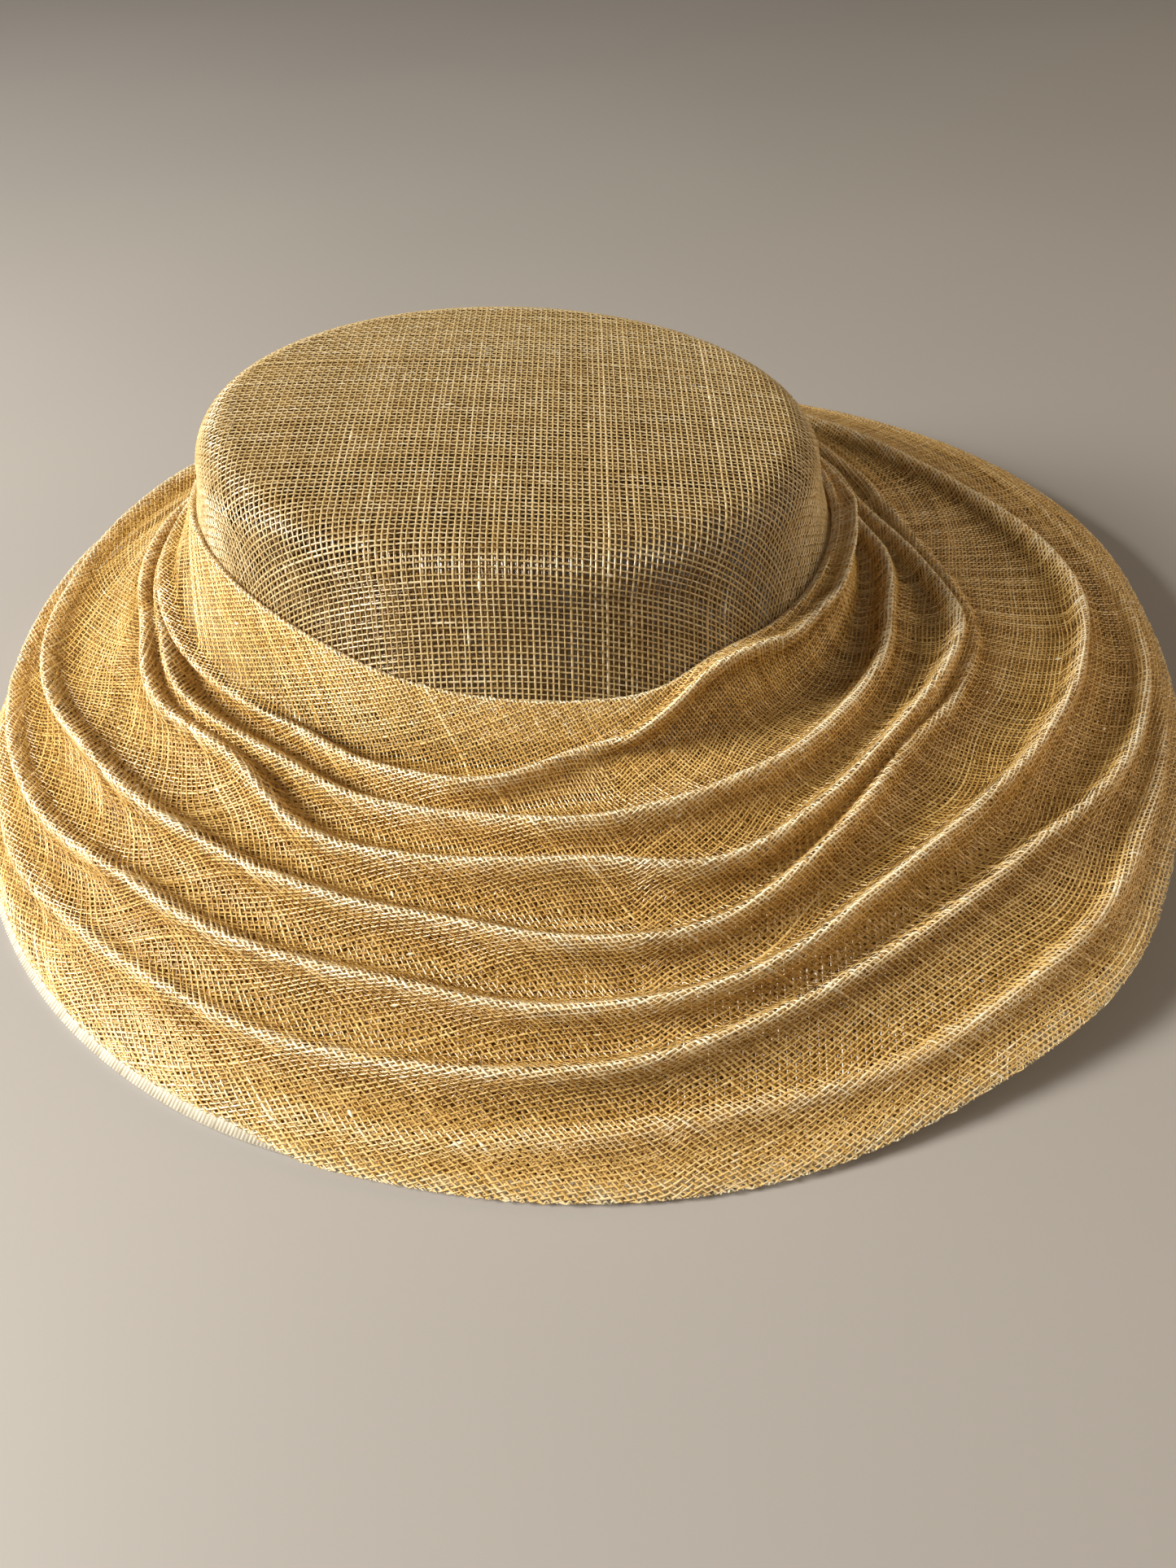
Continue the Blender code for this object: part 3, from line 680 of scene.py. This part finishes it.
def covering(azimuth):
    """1 where the swathe covers the ribbon and 0 where it leaves it bare."""
    degrees = np.degrees(azimuth) % 360
    opens = ease((degrees - BARE_FROM) / BARE_FADE)
    return 1 - opens * ease((BARE_TO - degrees) / BARE_FADE)


def swathe_end(azimuth):
    return edge_radius(azimuth) - RIBBON_SHOWS * (1 - covering(azimuth)) - END_INSET


def hand_made(azimuth, number):
    """The slight waver, within about 1 either way, of a pleat that is pinched by hand."""
    waver = 0.5 * np.sin(7 * azimuth + 1.7 * number) + 0.35 * np.sin(13 * azimuth + 2.9 * number)
    return waver + 0.15 * np.sin(23 * azimuth + 0.8 * number)


def crest_radii(azimuth):
    inner = border_radius(azimuth) + LEAST_FROM_BORDER
    outer = swathe_end(azimuth) - LEAST_SPACING * 0.6
    crests = []
    for number, row in enumerate(CRESTS_MM):
        crest = round_the_hat(row, azimuth) + CREST_WAVER * hand_made(azimuth, number)
        crests.append(np.maximum(crest, inner))
        inner = crests[-1] + LEAST_SPACING
    for k in range(len(crests) - 1, -1, -1):
        crests[k] = np.minimum(crests[k], outer)
        outer = crests[k] - LEAST_SPACING
    return crests


def pleat_heights(azimuth):
    return [round_the_hat(row, azimuth) * (1 + HEIGHT_WAVER * hand_made(azimuth, number + 9))
            for number, row in enumerate(HEIGHTS_MM)]


def pleat_lean(azimuth):
    """The pleats lean outwards most on the left and stand nearly upright at the front."""
    leaning = ease((0.2 - np.cos(azimuth)) / 1.2)
    return PLEAT_LEAN_FRONT + (PLEAT_LEAN_LEFT - PLEAT_LEAN_FRONT) * leaning


def pleat_roots(azimuth, heights):
    """Where each pleat rises from the bed, and last where the swathe ends."""
    lean = pleat_lean(azimuth)
    roots = [crest - lean * height for crest, height in zip(crest_radii(azimuth), heights)]
    return roots + [swathe_end(azimuth)]


def bed_fall(azimuth, radius):
    half = 0.0004
    return (bed_height(azimuth, radius - half) - bed_height(azimuth, radius + half)) / (2 * half)


def swathe_point(azimuth, radius, above):
    """A point of the swathe over a place on its bed. A pleat is a pinch with a small rise
    before it and an apron that falls away outside it, and stands between upright and off
    the bed."""
    fall = bed_fall(azimuth, radius)
    steep = np.sqrt(1 + fall * fall)
    r, z = radius + above * fall / steep, bed_height(azimuth, radius) + above / steep
    heights = pleat_heights(azimuth)
    roots = pleat_roots(azimuth, heights)
    lean = pleat_lean(azimuth)
    for k, height in enumerate(heights):
        away = radius - roots[k]
        fall = bed_fall(azimuth, roots[k])
        steep = np.sqrt(1 + fall * fall)
        pinch = np.exp(-((np.abs(away) * steep / PLEAT_HALF_WIDTH) ** PINCH_SHARPNESS))
        toe = PLEAT_TOE_SHARE * np.exp(-((away / PLEAT_TOE) ** 2))
        reach = PLEAT_APRON_REACH * (roots[k + 1] - roots[k])
        apron = PLEAT_APRON_SHARE * ease(1 - away / reach)
        share = np.where(away < 0, PLEAT_TOE_SHARE, PLEAT_APRON_SHARE)
        lift = height * ((1 - share) * pinch + np.where(away < 0, toe, apron))
        out, up = fall / steep + lean, 1 / steep + 1
        r = r + lift * out / np.hypot(out, up)
        z = z + lift * up / np.hypot(out, up)
    return r, z


def doubled(azimuth, radius):
    """1 on the outer face of a pleat, where the cloth comes back on itself and lies double."""
    heights = pleat_heights(azimuth)
    roots = pleat_roots(azimuth, heights)
    share = 0 * radius
    for k, height in enumerate(heights):
        away = (radius - roots[k]) / (roots[k + 1] - roots[k])
        face = ease((away + 0.10) / 0.05) * ease((DOUBLED_SHARE - away) / 0.05)
        share = np.maximum(share, face * ease((height - LOWEST_DOUBLED) / 0.001))
    return share


def strip_crossings(thread_angles, pitch, longest, seed):
    """The crossings of a strip of cloth that turns as it runs round the hat, and the points
    halfway between them, as azimuths and ways from its upper border. They are guessed from a
    fine grid and then made exact."""
    # The strip laid flat: its border is an arc, and every section leaves it squarely.
    azimuths = np.radians(np.linspace(-272, 92, 2913))
    angles = STRIP_TURN * (azimuths - np.radians(FRONT))
    start_radius = MEAN_RADIUS - MIDDLE_OF_CLOTH * STRIP_TURN
    step = azimuths[1] - azimuths[0]
    border_x = np.cumsum(-np.sin(angles)) * start_radius * step
    border_y = np.cumsum(np.cos(angles)) * start_radius * step
    along = np.arange(-0.002, longest + 0.002, 0.0004)[:, None]
    x, y = border_x + along * np.cos(angles), border_y + along * np.sin(angles)
    # The same points counted along the two families of threads, in half spacings.
    one, two = np.radians(thread_angles)
    skew = np.array([[np.cos(two), np.cos(one)], [np.sin(two), np.sin(one)]])
    (uu, uv), (vu, vv) = np.linalg.inv(skew)
    u, v = uu * x + uv * y, vu * x + vv * y
    half = pitch / 2
    low_i, low_j = int(u.min() / half) - 2, int(v.min() / half) - 2
    low_i, low_j = low_i - low_i % 2, low_j - low_j % 2
    shape = (int(u.max() / half) + 2 - low_i, int(v.max() / half) + 2 - low_j)
    guess = np.full((2, *shape), np.nan)
    i, j = np.rint(u / half).astype(int) - low_i, np.rint(v / half).astype(int) - low_j
    guess[0, i, j] = np.broadcast_to(azimuths, u.shape)
    guess[1, i, j] = np.broadcast_to(along, u.shape)
    # Where each thread really lies, since the spacing is uneven.
    rng = np.random.default_rng(seed)
    lines = []
    for low, count in zip((low_i, low_j), shape):
        thread = np.arange(-1, count // 2 + 2)
        at = thread + rng.normal(0, SWATHE_UNEVEN, len(thread))
        lines.append((np.interp(np.arange(count) / 2, thread, at) + low / 2) * pitch)
    found = np.isfinite(guess[0])
    u, v = (w[found] for w in np.meshgrid(*lines, indexing="ij"))
    x, y = skew[0, 0] * u + skew[0, 1] * v, skew[1, 0] * u + skew[1, 1] * v
    azimuth, along = guess[0][found], guess[1][found]
    for _ in range(6):
        angle = STRIP_TURN * (azimuth - np.radians(FRONT))
        miss_x = x - np.interp(azimuth, azimuths, border_x) - along * np.cos(angle)
        miss_y = y - np.interp(azimuth, azimuths, border_y) - along * np.sin(angle)
        radius = start_radius + along * STRIP_TURN
        azimuth = azimuth + (miss_y * np.cos(angle) - miss_x * np.sin(angle)) / radius
        along = along + miss_x * np.cos(angle) + miss_y * np.sin(angle)
    guess[0][found], guess[1][found] = azimuth, along
    return guess


# The swathe's section at every azimuth: from under its border it turns up over the pleats to
# the edge, and back under it to the end of the hem.
a = turn_steps[:, None]
start, end = border_radius(a), swathe_end(a)
hidden_start = np.linspace(1, 0, 24)[None, :]
border_turned = np.minimum(oval_radius(a, FLARE) - start, BORDER_TURNED) + BORDER_FOLD
under_r = start + border_turned * hidden_start
under_z = bed_height(a, under_r) + START_LIFT
shown = np.linspace(0, 1, 900)[None, :]
skin_r, skin_z = swathe_point(a, start + (end - start) * shown, SKIN_LIFT)
cover, low, edge = covering(a), edge_height(a), edge_radius(a)
lip_r = skin_r[:, -1:] + (edge + OVERHANG - LIP_INSET - skin_r[:, -1:]) * cover
lip_z = skin_z[:, -1:] + (low + RIBBON_THICKNESS - skin_z[:, -1:]) * cover
lip = np.linspace(0, 1, 8)[None, 1:]
round_r = skin_r[:, -1:] + (lip_r - skin_r[:, -1:]) * lip
round_z = skin_z[:, -1:] + (lip_z - skin_z[:, -1:]) * lip
back = np.linspace(0, 1, 30)[None, 1:]
back_r = end - HEM_TURNED * back
back_z = bed_height(a, back_r) + HEM_LIFT
swathe_r = np.concatenate([under_r, skin_r, round_r, back_r], axis=1)
swathe_z = np.concatenate([under_z, skin_z, round_z, back_z], axis=1)
face = np.zeros_like(swathe_r)
skin = slice(under_r.shape[1], under_r.shape[1] + shown.shape[1])
face[:, skin] = doubled(a, start + (end - start) * shown)
swathe_line = in_space(a + 0 * swathe_r, swathe_r, swathe_z)
swathe_line = np.concatenate([swathe_line, face[..., None]], axis=2)
longest = np.linalg.norm(np.diff(swathe_line[..., :3], axis=1), axis=2).sum(axis=1).max()


def swathe_cloth(thread_angles, pitch, seed):
    """A strip's crossings on the swathe: azimuths, places, outward ways, which of them lie on
    it, how far they stand on the double face of a pleat, and the light painted on them. The
    crests, which stand clear of what lies below, get a painted highlight, and the valleys get
    painted shade."""
    azimuth, along = strip_crossings(thread_angles, pitch, longest, seed)
    inside = (azimuth >= turn_steps[0]) & (azimuth <= turn_steps[-1] + 0.01)
    azimuth, along = np.where(inside, azimuth, 0.0), np.where(inside, along, -1.0)
    places, outward, keep = lie_on(swathe_line, azimuth, along)
    above = lie_on(swathe_line, azimuth, along - RELIEF_REACH)[0]
    below = lie_on(swathe_line, azimuth, along + RELIEF_REACH)[0]
    relief = np.nan_to_num(((places - (above + below) / 2)[..., :3] * outward).sum(axis=2))
    # Painted highlight where the cloth stands up, painted shade where it sinks.
    pale = CREST_PAINTED_HIGHLIGHT * np.clip(relief / CREST_RELIEF, 0, 1)
    pale = pale + VALLEY_PAINTED_SHADE * np.clip(relief / VALLEY_RELIEF, -1, 0)
    degrees, face = np.degrees(azimuth) % 360, np.nan_to_num(places[..., 3])
    return degrees, places[..., :3], outward, keep, face, pale


# pale is the painted highlight on the crests and the painted shade in the valleys.
degrees, places, outward, keep, _, pale = swathe_cloth(THREAD_ANGLES, SWATHE_PITCH, 41)
swathe_straw = straw("swathe_straw",
                     (0.52, 0.30, 0.065), (0.86, 0.60, 0.215), (1.0, 0.93, 0.70), 0.3)
# The strip's lengths, each with the azimuths where it starts and ends.
SWATHE_LENGTHS = (
    ("swathe_front_left", 200, 250),
    ("swathe_front", 250, 300),
    ("swathe_right", 300, 0),
    ("swathe_back_right", 0, 70),
    ("swathe_back_left", 70, 140),
    ("swathe_left", 140, 200),
)
for name, first, last in SWATHE_LENGTHS:
    owner = keep & ((degrees - first) % 360 < (last - first) % 360)
    cloth = weave(name, places, outward, keep, owner, SWATHE_THREAD, SWATHE_RISE, 0,
                  SWATHE_TWIST, 44, 2, pale)
    cloth.data.materials.append(swathe_straw)
    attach(cloth, "root")
# Each pleat's outer face has the same cloth behind it, as it comes back on itself there.
# Its straw is painted darker, as painted shade.
mirrored = tuple(180 - angle for angle in reversed(THREAD_ANGLES))
_, places, outward, keep, face, pale = swathe_cloth(mirrored, DOUBLED_PITCH, 47)
owner = keep & (face > 0.5)
# The pleat backs carry the same painted highlight and painted shade.
cloth = weave("pleat_backs", places - outward * DOUBLED_DEPTH, outward, keep, owner,
              DOUBLED_THREAD, SWATHE_RISE, 0, SWATHE_TWIST, 48, 2, pale)
cloth.data.materials.append(
    straw("pleat_back_painted_shade_straw", (0.38, 0.19, 0.035), (0.64, 0.38, 0.10), (0.84, 0.62, 0.28), 0.35))
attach(cloth, "root")
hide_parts("drape")

# The floor, the light and the camera.
# A plain pale floor, a window's soft light from the left, some from the room in front and off
# a warm wall to the right, and the photograph's view.

FLOOR_DEPTH = 0.0002

mesh = bpy.data.meshes.new("floor")
corners = [(-4, -4), (4, -4), (4, 4), (-4, 4)]
mesh.from_pydata([(x, y, -FLOOR_DEPTH) for x, y in corners], [], [(0, 1, 2, 3)])
floor = bpy.data.objects.new("floor", mesh)
bpy.context.collection.objects.link(floor)
paint, nodes, links = new_material("floor_paint")
dyed(nodes, links, clouds(nodes, links, 3.0, 2.0),
     (0.3, (0.295, 0.278, 0.264)), (0.7, (0.315, 0.297, 0.282)))
nodes["Principled BSDF"].inputs["Roughness"].default_value = 0.55
mesh.materials.append(paint)

# Each light's name, place, size, power and colour.
LIGHTS = (
    ("window", (-1.10, -0.30, 0.68), 0.4, 42.0, (1.0, 0.955, 0.87)),
    ("room", (0.3, -1.2, 1.5), 1.6, 3.0, (1.0, 0.94, 0.88)),
    ("far_wall", (1.4, 0.1, 0.55), 0.9, 11.0, (1.0, 0.76, 0.48)),
)
for name, at, size, power, colour in LIGHTS:
    lamp = bpy.data.lights.new(name, "AREA")
    lamp.size, lamp.energy, lamp.color = size, power, colour
    holder = bpy.data.objects.new(name, lamp)
    away = unit(np.array(at) - np.array([0, 0, 0.04]))
    left = unit(np.cross([0, 0, 1], away))
    up = np.cross(away, left)
    turn = np.stack([left, up, away], axis=1)
    holder.matrix_world = Matrix([[*row, p] for row, p in zip(turn, at)] + [[0, 0, 0, 1]])
    bpy.context.collection.objects.link(holder)

world = bpy.data.worlds.new("room")
bpy.context.scene.world = world
world.use_nodes = True
world.node_tree.nodes["Background"].inputs["Color"].default_value = (0.84, 0.77, 0.69, 1)
world.node_tree.nodes["Background"].inputs["Strength"].default_value = 0.16
bpy.context.scene.view_settings.view_transform = "Standard"

# The eye stands in front of the hat, a quarter of a metre up, and looks down at 45 degrees.
camera = bpy.data.cameras.new("camera")
camera.sensor_width = 36
camera.lens = 27.03
camera.clip_start, camera.clip_end = 0.01, 30
eye = bpy.data.objects.new("camera", camera)
bpy.context.collection.objects.link(eye)
down, roll = np.radians(45.36), np.radians(-0.68)
level, rising = np.array([1.0, 0, 0]), np.array([0, np.sin(down), np.cos(down)])
look = np.array([0, np.cos(down), -np.sin(down)])
right = np.cos(roll) * level + np.sin(roll) * rising
up = -np.sin(roll) * level + np.cos(roll) * rising
stand = np.array([0.0026, -0.2994, 0.2501]) + MIDDLE
turn = np.stack([right, up, -look], axis=1)
eye.matrix_world = Matrix([[*row, p] for row, p in zip(turn, stand)] + [[0, 0, 0, 1]])
bpy.context.scene.camera = eye
